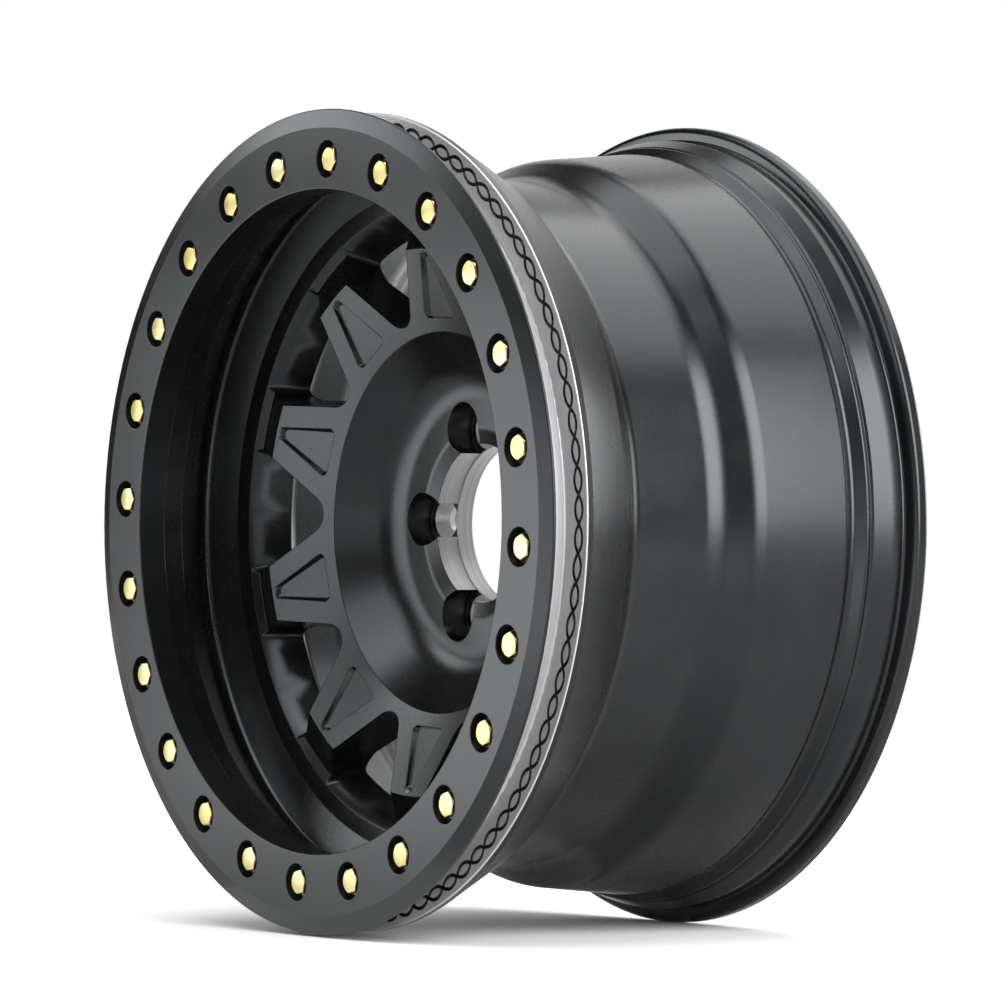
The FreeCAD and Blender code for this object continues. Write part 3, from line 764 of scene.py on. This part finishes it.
ring_angles = [i * math.tau / RING_POINTS for i in range(RING_POINTS)]
bolt_rings = [
    round_ring(TOP_FLAT_R - 0.15, HEAD_TOP_Y),
    round_ring(TOP_FLAT_R, HEAD_TOP_Y + 0.02),
    hex_ring(0.10, HEAD_TOP_Y, 1.0),
    hex_ring(0.0, HEAD_TOP_Y + 0.15, 1.0),
    hex_ring(0.0, HEAD_SEAT_Y - 0.35),
    hex_ring(0.15, HEAD_SEAT_Y - 0.15),
    round_ring(6.2, HEAD_SEAT_Y - 0.12),
    round_ring(6.1, HEAD_SEAT_Y),
    round_ring(SHANK_R, HEAD_SEAT_Y),
]
thread_y = HEAD_SEAT_Y + PLAIN_NECK
while thread_y < BOLT_END_Y - 1.4:
    bolt_rings.append(round_ring(SHANK_R, thread_y))
    bolt_rings.append(round_ring(SHANK_R - THREAD_DEPTH, thread_y + THREAD_DEPTH))
    thread_y += THREAD_PITCH
bolt_rings += [round_ring(SHANK_R - 0.05, BOLT_END_Y - 0.9), round_ring(SHANK_R - 0.9, BOLT_END_Y)]
bolt_master = bpy.data.objects.new("bolt_master", skin("bolt_master", bolt_rings, False))
washer_master = bpy.data.objects.new("washer_master", skin("washer_master", [
    round_ring(WASHER_BORE_R, HEAD_SEAT_Y + 0.1),
    round_ring(WASHER_BORE_R + 0.1, HEAD_SEAT_Y),
    round_ring(WASHER_R - 0.2, HEAD_SEAT_Y),
    round_ring(WASHER_R, HEAD_SEAT_Y + 0.2),
    round_ring(WASHER_R, WASHER_BASE_Y - 0.15),
    round_ring(WASHER_R - 0.15, WASHER_BASE_Y),
    round_ring(WASHER_BORE_R + 0.1, WASHER_BASE_Y),
    round_ring(WASHER_BORE_R, WASHER_BASE_Y - 0.1),
], True))
for master in (bolt_master, washer_master):
    scene.collection.objects.link(master)
print("bolt faces", len(bolt_master.data.polygons), "washer faces", len(washer_master.data.polygons))

# %% [markdown]
# ## Bolts and washers round the ring
# Twenty-four of each stand on one circle, so Geometry Nodes place them: points get their angle
# from their index, an instance stands on each and is turned to face out, plus a step of its own,
# since no bolt stops at the same angle. The same tree serves both, with the step at zero for the
# washers. Realize Instances makes them real mesh at the end.


# %% Bolts and washers round the ring
def circle_tree():
    tree = bpy.data.node_groups.new("fasteners_on_circle", "GeometryNodeTree")
    face = tree.interface
    face.new_socket("Geometry", in_out="OUTPUT", socket_type="NodeSocketGeometry")
    face.new_socket("Fastener", in_out="INPUT", socket_type="NodeSocketObject")
    face.new_socket("Finish", in_out="INPUT", socket_type="NodeSocketMaterial")
    face.new_socket("Count", in_out="INPUT", socket_type="NodeSocketInt")
    for name in ("Circle Radius", "First Angle", "Own Turn"):
        face.new_socket(name, in_out="INPUT", socket_type="NodeSocketFloat")
    given = tree.nodes.new("NodeGroupInput").outputs
    end = tree.nodes.new("NodeGroupOutput")

    def maths(operation, *values):
        inputs = {f"i{number}": value for number, value in enumerate(values)}
        return add_node(tree, "ShaderNodeMath", {"operation": operation}, **inputs).outputs[0]

    points = add_node(tree, "GeometryNodePoints", Count=given["Count"])
    index = add_node(tree, "GeometryNodeInputIndex").outputs[0]
    step = maths("DIVIDE", math.tau, given["Count"])
    angle = maths("MULTIPLY_ADD", index, step, given["First Angle"])
    x = maths("MULTIPLY", maths("COSINE", angle), given["Circle Radius"])
    z = maths("MULTIPLY", maths("SINE", angle), given["Circle Radius"])
    spot = add_node(tree, "ShaderNodeCombineXYZ", X=x, Z=z)
    placed = add_node(tree, "GeometryNodeSetPosition", Geometry=points.outputs[0],
                      Position=spot.outputs[0])
    whole_turn = maths("MULTIPLY_ADD", index, given["Own Turn"], angle)
    spin = add_node(tree, "ShaderNodeCombineXYZ", Y=maths("MULTIPLY", whole_turn, -1.0))
    turn = add_node(tree, "FunctionNodeEulerToRotation", Euler=spin.outputs[0])
    source = add_node(tree, "GeometryNodeObjectInfo", Object=given["Fastener"])
    stood = add_node(tree, "GeometryNodeInstanceOnPoints", Points=placed.outputs[0],
                     Instance=source.outputs["Geometry"], Rotation=turn.outputs[0])
    chance = add_node(tree, "FunctionNodeRandomValue", {"data_type": "FLOAT"}, ID=index, Seed=7)
    toned = add_node(tree, "GeometryNodeStoreNamedAttribute",
                     {"data_type": "FLOAT", "domain": "INSTANCE"},
                     Geometry=stood.outputs[0], Name="tone", Value=chance.outputs[1])
    real = add_node(tree, "GeometryNodeRealizeInstances", Geometry=toned.outputs[0])
    done = add_node(tree, "GeometryNodeSetMaterial", Geometry=real.outputs[0], Material=given["Finish"])
    tree.links.new(done.outputs[0], end.inputs["Geometry"])
    return tree


BOLT_COUNT = 24
BOLT_CIRCLE_R = 206.0 * MM
FIRST_BOLT = WHEEL_TURN + math.pi / BOLT_COUNT
OWN_TURN = math.radians(47.0)
bolt_tree = circle_tree()
sockets = {s.name: s.identifier for s in bolt_tree.interface.items_tree if s.in_out == "INPUT"}


def stand_on_circle(name, master, finish, own_turn):
    holder = bpy.data.objects.new(name + "_holder", bpy.data.meshes.new(name + "_holder"))
    scene.collection.objects.link(holder)
    layout = holder.modifiers.new("layout", "NODES")
    layout.node_group = bolt_tree
    layout[sockets["Fastener"]] = master
    layout[sockets["Finish"]] = finish
    layout[sockets["Count"]] = BOLT_COUNT
    layout[sockets["Circle Radius"]] = BOLT_CIRCLE_R
    layout[sockets["First Angle"]] = FIRST_BOLT
    layout[sockets["Own Turn"]] = own_turn
    graph = bpy.context.evaluated_depsgraph_get()
    mesh = bpy.data.meshes.new_from_object(holder.evaluated_get(graph), depsgraph=graph)
    mesh.name = name
    holder.modifiers.remove(layout)
    bpy.data.objects.remove(holder)
    piece = bpy.data.objects.new(name, mesh)
    scene.collection.objects.link(piece)
    return piece


bolts = stand_on_circle("ring_bolts", bolt_master, gold_zinc, OWN_TURN)
washers = stand_on_circle("flat_washers", washer_master, washer_steel, 0.0)
for master in (bolt_master, washer_master):
    bpy.data.objects.remove(master)
for piece, node, slot in ((bolts, "beadlock_bolts", "bolt_gold"),
                          (washers, "bolt_washers", "washer_steel")):
    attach(piece, "root")
    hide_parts(node)
print("bolts", len(bolts.data.polygons), "faces, washers", len(washers.data.polygons), "faces")

# %% [markdown]
# ## Thread inserts
# Steel sleeves line the tapped holes in the land. They sit under the ring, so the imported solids
# stay as they are and only take the steel.

# %% Thread inserts
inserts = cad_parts["thread_inserts"]
inserts.data.materials.clear()
inserts.data.materials.append(insert_steel)
print("inserts", len(inserts.data.polygons), "faces")
